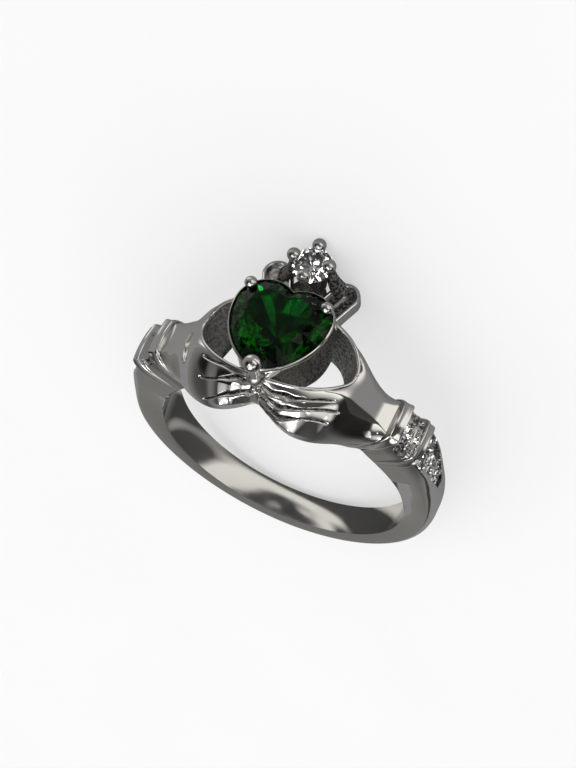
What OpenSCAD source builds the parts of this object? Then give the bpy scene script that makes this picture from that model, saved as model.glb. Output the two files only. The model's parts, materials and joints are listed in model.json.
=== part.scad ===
// A claddagh ring: two hands hold a crowned heart.
// The ring is worked out upright, with the finger hole along Y, the head at +Z, the fingers at -Y and
// the crown at +Y. It is then laid down on its side, as it rests on a table.

/* [Band] */
// Diameter of the finger hole
finger_d = 17.3; // [15.5:0.1:20]
// Width of the band at the back
shank_w = 2.3; // [1.8:0.1:2.8]
// Thickness of the band at the back
shank_t = 1.3; // [1.1:0.05:1.8]
// Thickness of the band halfway up its sides
side_t = 2.05; // [1.8:0.05:2.4]

/* [Cuffs and shoulders] */
// Width of the band at the cuffs
cuff_w = 3.2; // [2.8:0.1:3.8]
// Thickness of the band at the cuffs
cuff_t = 3.2; // [2.9:0.05:3.6]
// Turn from the top of the head to the bar at the wrist, in degrees
cuff_at = 42.4; // [40:0.2:46]
// Width of each bar
bar_w = 0.8; // [0.6:0.05:1]
// Rise of each bar above the cuff
bar_rise = 0.5; // [0.3:0.05:0.7]
// Gap between the two bars, which holds a row of stones
cuff_gap = 1.35; // [1.2:0.05:1.6]
// Length of the field of stones below the lower bar
pave_l = 4.5; // [4:0.1:5.5]
// Depth of the floor that the stones are set in
pave_depth = 0.28; // [0.15:0.01:0.35]

/* [Hands] */
// Height of the hands above the finger hole
hand_t = 4; // [3.7:0.05:4.4]
// Reach of the fingers in front of the middle of the band
hand_front = 4; // [3.6:0.05:4.4]
// Reach of the thumbs behind the middle of the band
hand_back = 3.6; // [3.4:0.05:4]
// Length of the oval opening between the hands
opening_l = 10.2; // [9.6:0.1:10.8]
// Width of the oval opening between the hands
opening_w = 5.7; // [5.3:0.1:6.1]
// Depth of the grooves between the fingers
finger_relief = 0.3; // [0.1:0.02:0.4]

/* [Heart] */
// Width of the heart stone
heart_w = 6.1; // [5.5:0.1:6.4]
// Length of the heart stone from its tip to its lobes
heart_l = 5.95; // [5.4:0.05:6.3]
// Height of the heart stone's widest outline above the finger hole
heart_h = 5.55; // [5.2:0.05:5.9]
// Thickness of the wall that holds the heart stone
collet_wall = 0.38; // [0.3:0.02:0.5]
// Height of the wall that holds the heart stone
collet_h = 3.8; // [3.3:0.05:4]
// Diameter of the balls of metal over the heart's lobes
lobe_ball_d = 0.8; // [0.7:0.02:1]
// Diameter of the ball of metal over the heart's tip
tip_ball_d = 1.16; // [0.9:0.02:1.3]

/* [Crown] */
// Diameter of the crown's round stone
crown_stone_d = 2.55; // [2.2:0.05:2.7]
// Distance of the crown's stone behind the middle of the band
crown_reach = 5.7; // [5.5:0.05:6]
// Height of the crown's stone above the finger hole
crown_h = 4.9; // [4.5:0.05:5.2]
// Length of each side leaf of the crown
leaf_l = 2.5; // [2.2:0.05:2.8]
// Width of each side leaf of the crown
leaf_w = 1.95; // [1.6:0.05:2.1]
// Thickness of each side leaf of the crown
leaf_t = 0.9; // [0.8:0.05:1.1]
// Turn of each side leaf away from the middle of the crown, in degrees
leaf_turn = 22; // [16:1:28]
// Diameter of the wires that hold the crown's stone
claw_d = 0.56; // [0.45:0.01:0.65]

/* [Small stones] */
// Diameter of the stones in the cuffs
cuff_stone_d = 0.98; // [0.85:0.01:1.05]
// Diameter of the stones in the shoulders
shoulder_stone_d = 1.2; // [1:0.02:1.3]
// Gap between each stone and the metal around it
seat_gap = 0.03; // [0.02:0.005:0.06]

/* [Hidden] */
SIDES = ["left", "right"];
METAL = "silver";
GREEN = "darkgreen";
CLEAR = "aliceblue";

bore_r = finger_d / 2;
cuff_r = bore_r + cuff_t;
// The angle that a length takes up around the band at the cuffs' height
function turn_of(l) = l / cuff_r * 180 / PI;
lower_bar_at = cuff_at + turn_of(bar_w + cuff_gap);
cuff_mid = (cuff_at + lower_bar_at) / 2;
bar_turn = turn_of(bar_w / 2);
ledge_turn = turn_of(0.2 * pave_depth);
pave_from = lower_bar_at + bar_turn + ledge_turn;
pave_to = pave_from + turn_of(pave_l);

// Columns of the section tables
AT = 0; // place around the band, as a share of the way between two named angles
T = 1; // thickness in the middle
F_TOP = 2; // reach of the crest's front edge
B_TOP = 3; // reach of the crest's back edge
F_REACH = 4; // reach of the front face
B_REACH = 5; // reach of the back face
FACE_T = 6; // thickness at the front and back faces

// The hands: shares of cuff_at, hand_t, hand_front and hand_back
//             AT    T     F_TOP  B_TOP  F_REACH B_REACH FACE_T
HAND_ROWS = [[0.00, 1.060, 0.600, 0.930, 0.680, 1.020, 0.49],
             [0.09, 1.050, 0.585, 0.905, 0.810, 1.010, 0.46],
             [0.21, 1.045, 0.540, 0.835, 0.930, 0.980, 0.43],
             [0.35, 1.050, 0.440, 0.700, 0.985, 0.900, 0.41],
             [0.50, 1.080, 0.290, 0.500, 0.930, 0.770, 0.40],
             [0.58, 1.020, 0.215, 0.390, 0.865, 0.680, 0.40],
             [0.66, 0.890, 0.165, 0.300, 0.780, 0.600, 0.41],
             [0.76, 0.770, 0.135, 0.230, 0.655, 0.530, 0.42],
             [0.86, 0.705, 0.130, 0.180, 0.530, 0.475, 0.44]];
// The cuffs and shoulders: shares of the way from cuff_at to pave_to, of cuff_t and of half cuff_w
CUFF_ROWS = [[0.00, 1.000, 0.740, 0.740, 0.990, 0.990, 0.62],
             [0.15, 1.000, 0.760, 0.760, 1.000, 1.000, 0.64],
             [0.30, 0.975, 0.760, 0.760, 1.000, 1.000, 0.63],
             [0.42, 0.935, 0.780, 0.780, 0.990, 0.990, 0.62],
             [0.60, 0.870, 0.700, 0.700, 0.970, 0.970, 0.60],
             [0.80, 0.790, 0.440, 0.440, 0.940, 0.940, 0.56],
             [1.00, 0.720, 0.230, 0.230, 0.915, 0.915, 0.52]];
// The plain band: shares of the way from pave_to to the back, T and F_REACH go from the size at the
// back at 0 to side_t or half cuff_w at 1, and the other columns are shares of those two
SHANK_ROWS = [[0.11, 1.00, 0.24, 0.24, 0.62, 0.62, 0.74],
              [0.28, 0.66, 0.24, 0.24, 0.36, 0.36, 0.72],
              [0.48, 0.32, 0.24, 0.24, 0.14, 0.14, 0.70],
              [0.72, 0.08, 0.24, 0.24, 0.02, 0.02, 0.68],
              [1.00, 0.00, 0.24, 0.24, 0.00, 0.00, 0.68]];

function hand_row(s) = [
    s[AT] * cuff_at, s[T] * hand_t, s[F_TOP] * hand_front, s[B_TOP] * hand_back,
    s[F_REACH] * hand_front, s[B_REACH] * hand_back, s[FACE_T] * hand_t
];
function cuff_row(s) = let (half = cuff_w / 2) [
    cuff_at + s[AT] * (pave_to - cuff_at), s[T] * cuff_t, s[F_TOP] * half, s[B_TOP] * half,
    s[F_REACH] * half, s[B_REACH] * half, s[FACE_T] * cuff_t
];
function shank_row(s) = let (
    thick = shank_t + s[T] * (side_t - shank_t),
    half = (shank_w + s[F_REACH] * (cuff_w - shank_w)) / 2
) [
    pave_to + s[AT] * (180 - pave_to), thick, s[F_TOP] * half, s[B_TOP] * half,
    half, half, s[FACE_T] * thick
];
ROWS = concat(
    [for (s = HAND_ROWS) hand_row(s)],
    [for (s = CUFF_ROWS) cuff_row(s)],
    [for (s = SHANK_ROWS) shank_row(s)]
);

// A smooth curve through the rows: between two rows it is a cubic whose slopes at the ends are those
// of the chord from the row before to the row after, and it is level at the top and the back
function slope_at(i, column) = (i == 0 || i == len(ROWS) - 1) ? 0
    : (ROWS[i + 1][column] - ROWS[i - 1][column]) / (ROWS[i + 1][AT] - ROWS[i - 1][AT]);
function row_below(angle, i = 0) = (i >= len(ROWS) - 2 || ROWS[i + 1][AT] > angle) ? i
    : row_below(angle, i + 1);
function size_at(angle, column) = let (
    i = row_below(angle),
    span = ROWS[i + 1][AT] - ROWS[i][AT],
    u = (angle - ROWS[i][AT]) / span
)
    ROWS[i][column] * (1 + 2 * u) * (1 - u) * (1 - u)
    + ROWS[i + 1][column] * u * u * (3 - 2 * u)
    + slope_at(i, column) * span * u * (1 - u) * (1 - u)
    - slope_at(i + 1, column) * span * u * u * (1 - u);

function ease(u) = let (v = max(0, min(1, u))) v * v * (3 - 2 * v);

// Each bar is a flat top with rounded shoulders
function bar_height(angle, at) = let (d = min(1, abs(angle - at) / bar_turn)) pow(1 - pow(d, 6), 0.5);
function bars(angle) = bar_rise * (bar_height(angle, cuff_at) + bar_height(angle, lower_bar_at));
// The stones' floors lie between the bars and below the lower bar
function in_floor(angle) =
    (angle > cuff_at + bar_turn && angle < lower_bar_at - bar_turn)
    || (angle > lower_bar_at + bar_turn && angle < pave_to);

// The fingers are a pattern of grooves on the front of the hands, which fades towards the palm
finger_from = 3.1;
finger_fade = 1.6;
function finger_x(angle) = (bore_r + hand_t) * sin(min(angle, 90));
function finger_depth(angle) = finger_relief
    * ease((finger_from + finger_fade - finger_x(angle)) / finger_fade);
// The fingertips of the two hands meet in a groove on the middle line
tip_gap = 0.4;
function tip_rise(angle) = ease(finger_x(angle) / tip_gap);

FLANK = 12; // points across the front face, three for each finger
BACK = 6; // points across the back face
THIN = 0.3; // depth to which the section reaches inside the finger hole before that is cut

// One section through the band as points [y, r], from the inner front corner over the top
function section(angle) = let (
    thick = size_at(angle, T),
    f_top = size_at(angle, F_TOP),
    b_top = size_at(angle, B_TOP),
    f_reach = size_at(angle, F_REACH),
    b_reach = size_at(angle, B_REACH),
    face = size_at(angle, FACE_T),
    top = bore_r + thick,
    rim = bore_r + face,
    bar = bars(angle),
    hand = ease((cuff_at - bar_turn - angle) / (0.3 * cuff_at)),
    bend = 1 + 0.5 * hand,
    relief = finger_depth(angle),
    run = norm([f_reach - f_top, top - rim]),
    out_y = -(top - rim) / run,
    out_r = (f_reach - f_top) / run,
    cuff_dome = (1 - hand) * 0.03 * cuff_t * ease((pave_to - angle) / turn_of(0.45 * pave_l)),
    sink = in_floor(angle) ? pave_depth : 0,
    inner = min(shank_w / 2, f_reach) * 0.95,
    under = face * 0.8 * hand
) concat(
    [[-inner, bore_r - THIN], [-f_reach + 0.06, bore_r + under + 0.12]],
    [for (i = [0:FLANK]) let (
        a = 90 * i / FLANK,
        groove = (i % 3 == 0) ? 0 : relief * tip_rise(angle)
    ) [
        -(f_top + (f_reach - f_top) * pow(cos(a), bend)) + out_y * groove - 0.2 * bar * cos(a),
        rim + (top - rim) * pow(sin(a), bend) + out_r * groove + bar * sin(a)
    ]],
    [for (k = [-0.96, -0.6, -0.2, 0.2, 0.6, 0.96])
        [k < 0 ? k * f_top : k * b_top, top + bar - sink + cuff_dome * (1 - k * k)]],
    [for (i = [BACK:-1:0]) let (a = 90 * i / BACK)
        [
            b_top + (b_reach - b_top) * cos(a) + 0.2 * bar * cos(a),
            rim + (top - rim) * sin(a) + bar * sin(a)
        ]],
    [[b_reach - 0.06, bore_r + 0.12], [inner, bore_r - THIN]]
);

// The angles at which a section is drawn, on one side of the head
hand_step = 2.1;
bar_steps = [-1, -0.92, -0.6, 0.6, 0.92, 1];
one_side = concat(
    [for (a = [hand_step : hand_step : cuff_at - bar_turn - 1]) a],
    [for (k = bar_steps) cuff_at + k * bar_turn],
    [cuff_at + bar_turn + ledge_turn, cuff_mid, lower_bar_at - bar_turn - ledge_turn],
    [for (k = bar_steps) lower_bar_at + k * bar_turn],
    [for (i = [0:7]) pave_from + (pave_to - pave_from - 0.2) * i / 7],
    [pave_to + 0.2],
    [for (i = [1:13]) pave_to + (180 - pave_to) * i / 14]
);
stations = concat([0], one_side, [180], [for (i = [len(one_side) - 1 : -1 : 0]) 360 - one_side[i]]);
function folded(angle) = angle > 180 ? 360 - angle : angle;

// A closed skin over rings of points, joined ring to ring and all the way round
module closed_sweep(rings) {
    n = len(rings[0]);
    m = len(rings);
    polyhedron(
        points = [for (ring = rings) each ring],
        faces = [for (j = [0:m - 1], i = [0:n - 1], half = [0, 1]) let (
            a = j * n + i,
            b = j * n + (i + 1) % n,
            c = ((j + 1) % m) * n + (i + 1) % n,
            d = ((j + 1) % m) * n + i
        ) half == 0 ? [a, b, c] : [a, c, d]],
        convexity = 8
    );
}

// A closed skin over rings of points stacked from the bottom up, with a flat end or a point at each end
module stack(rings) {
    n = len(rings[0]);
    m = len(rings);
    polyhedron(
        points = [for (ring = rings) each ring],
        faces = concat(
            [[for (i = [0:n - 1]) i]],
            [for (j = [0:m - 2], i = [0:n - 1], half = [0, 1]) let (
                a = j * n + i,
                b = j * n + (i + 1) % n,
                c = (j + 1) * n + (i + 1) % n,
                d = (j + 1) * n + i
            ) half == 0 ? [a, c, b] : [a, d, c]],
            [[for (i = [n - 1:-1:0]) (m - 1) * n + i]]
        ),
        convexity = 6
    );
}

// The whole band with the hands, before anything is cut out of it
module band() {
    closed_sweep([for (angle = stations) [
        for (p = section(folded(angle))) [p[1] * sin(angle), p[0], p[1] * cos(angle)]
    ]]);
}

module finger_hole() {
    rotate([90, 0, 0]) cylinder(r = bore_r, h = 6 * hand_front, center = true, $fn = 120);
}

// The oval opening between the fingers and the thumbs, which narrows towards the finger hole, where
// it is squarer and lies a little to one side, as it was filed out by hand
opening_y = 0.1 * opening_w;
opening_foot = 0.8; // share of the opening's size at its lower end
opening_shift = -0.04 * opening_l;
function signed_pow(v, power) = sign(v) * pow(abs(v), power);
function oval(share, shift, power, z) = [for (i = [0:59]) let (a = 6 * i) [
    shift + opening_l / 2 * share * signed_pow(cos(a), power),
    opening_y + opening_w / 2 * share * signed_pow(sin(a), power),
    z
]];
module head_opening() {
    stack([
        oval(opening_foot, opening_shift, 0.7, bore_r * 0.6),
        oval(opening_foot, opening_shift, 0.7, bore_r * 0.88),
        oval(1, 0, 1, bore_r + 0.75 * hand_t),
        oval(1, 0, 1, bore_r + 1.2 * hand_t)
    ]);
}

// The heart's outline: each lobe is an arc, and an arc tangent to it runs down to the tip
lobe_r = 0.308 * heart_w;
lobe_x = heart_w / 2 - lobe_r;
lobe_y = heart_l / 2 - lobe_r;
tip_y = -heart_l / 2;
notch_turn = acos(-lobe_x / lobe_r);
// The side arc's centre lies at lobe_x - side_shift, level with the lobe's
side_shift = (pow(lobe_x, 2) + pow(tip_y - lobe_y, 2) - pow(lobe_r, 2)) / (2 * (lobe_r + lobe_x));
side_r = lobe_r + side_shift;
tip_turn = atan2(tip_y - lobe_y, side_shift - lobe_x);
LOBE_STEPS = 9;
SIDE_STEPS = 9;
half_heart = concat(
    [for (i = [0:LOBE_STEPS]) let (a = notch_turn * (1 - i / LOBE_STEPS))
        [i == 0 ? 0 : lobe_x + lobe_r * cos(a), lobe_y + lobe_r * sin(a)]],
    [for (i = [1:SIDE_STEPS]) let (a = tip_turn * i / SIDE_STEPS)
        [i == SIDE_STEPS ? 0 : lobe_x - side_shift + side_r * cos(a), lobe_y + side_r * sin(a)]]
);
heart_outline = concat(
    [for (i = [len(half_heart) - 1 : -1 : 0]) half_heart[i]],
    [for (i = [1:len(half_heart) - 2]) [-half_heart[i][0], half_heart[i][1]]]
);
heart_y = 0.4;
girdle_z = bore_r + heart_h;
// The outline grown or shrunk by a share about its middle, and then by a length along the way out
function heart_ring(share, z, grow = 0) = [
    for (p = heart_outline) let (q = p * (share + grow / norm(p))) [q[0], q[1] + heart_y, z]
];

heart_crown = 0.95;
heart_pavilion = 2.9;
girdle_t = 0.12;
// The heart stone, or with a gap the space that it needs
module heart_solid(gap = 0) {
    stack([
        heart_ring(0.06, girdle_z - heart_pavilion - gap, gap),
        heart_ring(0.55, girdle_z - heart_pavilion * 0.52 - gap, gap),
        heart_ring(1, girdle_z - girdle_t / 2 - gap / 2, gap),
        heart_ring(1, girdle_z + girdle_t / 2 + gap / 2, gap),
        heart_ring(0.86, girdle_z + heart_crown * 0.55 + gap, gap),
        heart_ring(0.68, girdle_z + heart_crown + gap, gap)
    ]);
}

// The wall under the heart stone, open below, whose lower edge rises towards the tip
collet_top = girdle_z - girdle_t / 2 - 0.02;
function collet_foot(p) = collet_top - collet_h * (1 - 0.16 * ease(-p[1] / (heart_l / 2)));
module collet() {
    foot = 0.95;
    inner = collet_wall + 0.1;
    rings = [
        [for (p = heart_outline) let (q = p * foot) [q[0], q[1] + heart_y, collet_foot(p)]],
        [for (p = heart_outline) let (q = p * 0.975) [q[0], q[1] + heart_y, collet_top - 0.45 * collet_h]],
        heart_ring(1, collet_top - 0.12, 0.04),
        heart_ring(1, collet_top, 0.01),
        heart_ring(1, collet_top, -collet_wall),
        [for (p = heart_outline) let (q = p * (foot - inner / norm(p)))
            [q[0], q[1] + heart_y, collet_foot(p)]]
    ];
    n = len(heart_outline);
    m = len(rings);
    polyhedron(
        points = [for (ring = rings) each ring],
        faces = [for (j = [0:m - 1], i = [0:n - 1], half = [0, 1]) let (
            a = j * n + i,
            b = j * n + (i + 1) % n,
            c = ((j + 1) % m) * n + (i + 1) % n,
            d = ((j + 1) % m) * n + i
        ) half == 0 ? [a, c, b] : [a, d, c]],
        convexity = 8
    );
}

// A wire with a ball on top, from one point to another
module claw(from, to, d, ball_d) {
    v = to - from;
    turn = [0, acos(v[2] / norm(v)), atan2(v[1], v[0])];
    translate(from) rotate(turn) cylinder(d = d, h = norm(v), $fn = 24);
    translate(to) sphere(d = ball_d, $fn = 24);
}

// The claws stand against the outside of the wall and end in balls that lean over the stone's edge
claw_turn = 36;
claw_lean = 0.24;
lobe_claw = [lobe_x, lobe_y + heart_y] + lobe_r * [cos(claw_turn), sin(claw_turn)];
claw_out = [cos(claw_turn), sin(claw_turn)];
module heart_claws() {
    top_z = girdle_z + 0.74 * heart_crown;
    for (side = [0, 1]) mirror([side, 0, 0]) {
        foot = lobe_claw + 0.02 * claw_out;
        ball = lobe_claw - claw_lean * claw_out;
        wire_d = 0.7 * lobe_ball_d;
        claw([foot[0], foot[1], collet_top - 0.47 * collet_h], [foot[0], foot[1], girdle_z], wire_d, wire_d);
        claw([foot[0], foot[1], girdle_z], [ball[0], ball[1], top_z], wire_d * 0.95, lobe_ball_d);
    }
    tip_at = heart_y + tip_y;
    claw(
        [0, tip_at - 0.09 * tip_ball_d, bore_r + 0.62 * hand_t],
        [0, tip_at - 0.13 * tip_ball_d, top_z + 0.09 * tip_ball_d],
        tip_ball_d * 0.7, tip_ball_d
    );
    // a bead of solder between the fingertips
    translate([0, tip_at - 0.14 * tip_ball_d, bore_r + 1.1 * hand_t]) sphere(d = tip_ball_d * 0.75, $fn = 24);
}

// The round stones are brilliants: a table, star, kite and upper facets, a girdle and a pavilion
BRILLIANT = [0.29, 0.5, 0.16, 0.03, 0.4]; // table and middle radius, crown, girdle and pavilion as shares
module brilliant(d, gap = 0) {
    r = d / 2 + gap;
    top = (BRILLIANT[2] + BRILLIANT[3]) * d + gap;
    mid = BRILLIANT[3] * d + 0.62 * BRILLIANT[2] * d + gap;
    table_r = BRILLIANT[0] * d + gap;
    mid_r = 0.39 * d + gap;
    points = concat(
        [for (k = [0:7]) [table_r * cos(45 * k), table_r * sin(45 * k), top]],
        [for (k = [0:7]) [mid_r * cos(45 * k + 22.5), mid_r * sin(45 * k + 22.5), mid]],
        [for (k = [0:15]) [r * cos(22.5 * k), r * sin(22.5 * k), BRILLIANT[3] * d + gap / 2]],
        [for (k = [0:15]) [r * cos(22.5 * k), r * sin(22.5 * k), -gap / 2]],
        [[0, 0, -BRILLIANT[4] * d - gap]]
    );
    faces = concat(
        [[for (k = [7:-1:0]) k]],
        [for (k = [0:7]) [k, (k + 1) % 8, 8 + k]],
        [for (k = [0:7]) [k, 8 + k, 16 + 2 * k]],
        [for (k = [0:7]) [k, 16 + 2 * k, 8 + (k + 7) % 8]],
        [for (k = [0:7]) [8 + k, 16 + 2 * k + 1, 16 + 2 * k]],
        [for (k = [0:7]) [8 + k, 16 + (2 * k + 2) % 16, 16 + 2 * k + 1]],
        [for (k = [0:15]) [16 + k, 16 + (k + 1) % 16, 32 + (k + 1) % 16]],
        [for (k = [0:15]) [16 + k, 32 + (k + 1) % 16, 32 + k]],
        [for (k = [0:15]) [32 + k, 32 + (k + 1) % 16, 48]]
    );
    polyhedron(points = points, faces = faces, convexity = 2);
}

crown_at = [0, crown_reach, bore_r + crown_h];
seat_r = crown_stone_d / 2;
claw_top = [seat_r * 0.98, 0, seat_r * 0.486];
claw_ball_d = 1.4 * claw_d;
module crown_setting() {
    foot_z = -0.43 * crown_h;
    translate(crown_at) {
        difference() {
            translate([0, 0, foot_z])
                cylinder(r1 = seat_r * 0.62, r2 = seat_r * 0.98, h = -foot_z - 0.12, $fn = 32);
            translate([0, 0, foot_z - 0.1]) cylinder(r = seat_r * 0.36, h = -foot_z, $fn = 32);
        }
        for (a = [0:90:270]) rotate(a) claw(
            [seat_r * 0.5, 0, foot_z * 0.95], claw_top, claw_d, claw_ball_d
        );
    }
}

// The leaf's outline, which stands on the crown's foot and has a round end
leaf_root = [0.87 * leaf_w, 1.07 * hand_back];
module leaf_outline(inset = 0) {
    r = leaf_w / 2 - inset;
    root = 0.36 * leaf_l;
    translate(leaf_root) rotate(-leaf_turn) union() {
        translate([-r, inset - root]) square([2 * r, leaf_l - leaf_w / 2 - inset + root]);
        translate([0, leaf_l - leaf_w / 2]) circle(r = r, $fn = 40);
    }
}

leaf_top = bore_r + 0.855 * hand_t;
module leaf() {
    rim = 0.165 * leaf_w;
    difference() {
        translate([0, 0, leaf_top - leaf_t]) linear_extrude(leaf_t) leaf_outline();
        translate([0, 0, leaf_top - leaf_t * 0.3]) linear_extrude(leaf_t) leaf_outline(rim);
    }
}

// The crown's foot joins the leaves and the stone's setting to the heart's wall and the thumbs
module crown_foot() {
    wide = 0.225 * opening_l;
    narrow = 0.35 * crown_stone_d;
    end_y = crown_reach - 0.08 * crown_stone_d;
    translate([0, 0, bore_r + 0.49 * hand_t]) linear_extrude(0.3 * hand_t) polygon([
        [-wide, 0.75 * hand_back], [wide, 0.75 * hand_back], [0.96 * wide, hand_back],
        [narrow, end_y], [-narrow, end_y], [-0.96 * wide, hand_back]
    ]);
}

module crown() {
    crown_setting();
    crown_foot();
    for (side = [0, 1]) mirror([side, 0, 0]) leaf();
}

// Where the small stones sit: columns are angle, place across the band, lean and diameter
cuff_lean = 26;
cuff_spread = 0.6 * cuff_w / 2;
CUFF_SEATS = [
    [cuff_mid, -cuff_spread, -cuff_lean, cuff_stone_d],
    [cuff_mid, 0, 0, cuff_stone_d],
    [cuff_mid, cuff_spread, cuff_lean, cuff_stone_d]
];
pave_step = turn_of(shoulder_stone_d * 1.12);
shoulder_spread = 0.56 * shoulder_stone_d;
SHOULDER_SEATS = [
    [pave_from + pave_step * 0.55, -shoulder_spread, -4, shoulder_stone_d],
    [pave_from + pave_step * 0.55, shoulder_spread, 4, shoulder_stone_d],
    [pave_from + pave_step * 1.5, 0, 0, shoulder_stone_d],
    [pave_from + pave_step * 2.5, 0, 0, shoulder_stone_d * 0.9]
];
function floor_r(seat) = bore_r + size_at(seat[0], T) - pave_depth * (1 + 0.64 * abs(seat[2]) / cuff_lean);
// Moves a stone to its seat, with its table facing out of the band
module seated(seat, side) {
    rotate([0, side * seat[0], 0])
        translate([0, seat[1], floor_r(seat)])
        rotate([-seat[2], 0, 0]) children();
}

module seat_holes() {
    for (side = [-1, 1], seat = concat(CUFF_SEATS, SHOULDER_SEATS)) seated(seat, side)
        translate([0, 0, -0.5 * seat[3]]) cylinder(d = seat[3] + 2 * seat_gap, h = seat[3], $fn = 32);
}

// The tilt at which the back of the band and the crown's hindmost ball or its leaves touch the table
back_edge = [shank_w / 2, -bore_r - shank_t];
function tilt_to(point, r) = let (v = point - back_edge) atan2(v[0], v[1]) + asin(r / norm(v));
leaf_end = leaf_root[1] + leaf_l * cos(leaf_turn);
rest_tilt = max(
    tilt_to([crown_at[1] + claw_top[0], crown_at[2] + claw_top[2]], claw_ball_d / 2),
    tilt_to([leaf_end, leaf_top - leaf_t], 0)
);
module lying() {
    rotate([rest_tilt - 90, 0, 180]) children();
}

// All the metal: the band with its hands, the heart's wall and claws, and the crown, soldered together
module band_and_setting() {
    color(METAL) lying() union() {
        difference() {
            band();
            finger_hole();
            head_opening();
            seat_holes();
        }
        difference() {
            union() {
                collet();
                heart_claws();
                crown();
            }
            heart_solid(seat_gap);
            translate(crown_at) brilliant(crown_stone_d, seat_gap);
        }
    }
}

module heart_stone() {
    color(GREEN) lying() heart_solid();
}

module crown_stone() {
    color(CLEAR) lying() translate(crown_at) brilliant(crown_stone_d);
}

module small_stone(seat, side) {
    color(CLEAR) lying() seated(seat, side) brilliant(seat[3]);
}

function side_sign(side) = side == "left" ? -1 : 1;
band_and_setting();
heart_stone();
crown_stone();
for (side = SIDES, i = [1:3])
    small_stone(CUFF_SEATS[i - 1], side_sign(side));
for (side = SIDES, i = [1:4])
    small_stone(SHOULDER_SEATS[i - 1], side_sign(side));
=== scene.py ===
import json
import bmesh
import bpy
import numpy as np
from mathutils import Matrix, Vector


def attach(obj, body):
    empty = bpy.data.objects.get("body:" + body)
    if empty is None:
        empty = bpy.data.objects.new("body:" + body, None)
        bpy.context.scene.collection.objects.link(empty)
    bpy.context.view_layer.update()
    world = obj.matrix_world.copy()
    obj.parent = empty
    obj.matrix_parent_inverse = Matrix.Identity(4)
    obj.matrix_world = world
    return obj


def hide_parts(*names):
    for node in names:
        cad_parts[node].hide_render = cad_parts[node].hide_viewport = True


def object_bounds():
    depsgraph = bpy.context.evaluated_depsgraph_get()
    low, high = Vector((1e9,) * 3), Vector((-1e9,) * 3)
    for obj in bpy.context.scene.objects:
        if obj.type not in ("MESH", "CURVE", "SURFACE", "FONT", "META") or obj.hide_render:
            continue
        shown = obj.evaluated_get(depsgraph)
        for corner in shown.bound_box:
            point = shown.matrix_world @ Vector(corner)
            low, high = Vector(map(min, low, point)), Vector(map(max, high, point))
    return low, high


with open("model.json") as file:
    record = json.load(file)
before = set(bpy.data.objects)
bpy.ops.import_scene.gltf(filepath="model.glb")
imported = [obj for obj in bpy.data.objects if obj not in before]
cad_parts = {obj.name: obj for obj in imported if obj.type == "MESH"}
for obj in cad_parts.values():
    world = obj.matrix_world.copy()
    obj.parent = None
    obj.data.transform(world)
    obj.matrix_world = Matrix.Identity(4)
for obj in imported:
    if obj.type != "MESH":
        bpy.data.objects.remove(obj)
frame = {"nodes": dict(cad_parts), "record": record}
cad_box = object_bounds()


# The hands
# Two open hands reach up from the wrists and meet at the fingertips in front and at the thumbs
# behind. They are cast in white gold in one with the band and polished all over outside, and the
# oval opening that is left between them keeps the grainy skin of the casting.
hole_r = 8.65  # radius of the finger hole, mm, as all lengths here
hand_t, hand_front, hand_back = 4.0, 4.0, 3.6  # the hands' height and their reach to front and back
cuff_t, cuff_half = 3.2, 1.6  # height and half width of the cuffs
band_half, band_t, side_t = 1.15, 1.3, 2.05  # the band's half width, thickness behind and at its sides
bar_w, row_w, field_l = 0.8, 1.35, 4.5  # a raised bar, the row of stones below it, the field of stones
field_gap = 0.056  # between the lower bar and the field
wrist = 42.4  # degrees from the middle of the head to the bar at the wrist


def turn_of(length):
    """The angle in degrees that a length takes up around the band, at the height of the cuffs."""
    return np.degrees(length / (hole_r + cuff_t))


bar_turn = turn_of(bar_w / 2)
lower_bar = wrist + turn_of(bar_w + row_w)
stones_from = lower_bar + bar_turn + turn_of(field_gap)
stones_to = stones_from + turn_of(field_l)
# Each row of sizes: angle, thickness in the middle, reach of the crest to front and to back, reach of
# the front and the back face, thickness at those faces
hand_sizes = np.array([
    [0.00, 1.060, 0.600, 0.930, 0.680, 1.020, 0.49], [0.09, 1.050, 0.585, 0.905, 0.810, 1.010, 0.46],
    [0.21, 1.045, 0.540, 0.835, 0.930, 0.980, 0.43], [0.35, 1.050, 0.440, 0.700, 0.985, 0.900, 0.41],
    [0.50, 1.080, 0.290, 0.500, 0.930, 0.770, 0.40], [0.58, 1.020, 0.215, 0.390, 0.865, 0.680, 0.40],
    [0.66, 0.890, 0.165, 0.300, 0.780, 0.600, 0.41], [0.76, 0.770, 0.135, 0.230, 0.655, 0.530, 0.42],
    [0.86, 0.705, 0.130, 0.180, 0.530, 0.475, 0.44],
]) * [wrist, hand_t, hand_front, hand_back, hand_front, hand_back, hand_t]
cuff_sizes = np.array([
    [0.00, 1.000, 0.740, 0.740, 0.990, 0.990, 0.62], [0.15, 1.000, 0.760, 0.760, 1.000, 1.000, 0.64],
    [0.30, 0.975, 0.760, 0.760, 1.000, 1.000, 0.63], [0.42, 0.935, 0.780, 0.780, 0.990, 0.990, 0.62],
    [0.60, 0.870, 0.700, 0.700, 0.970, 0.970, 0.60], [0.80, 0.790, 0.440, 0.440, 0.940, 0.940, 0.56],
    [1.00, 0.720, 0.230, 0.230, 0.915, 0.915, 0.52],
]) * [stones_to - wrist, cuff_t, cuff_half, cuff_half, cuff_half, cuff_half, cuff_t]
cuff_sizes[:, 0] += wrist
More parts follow.
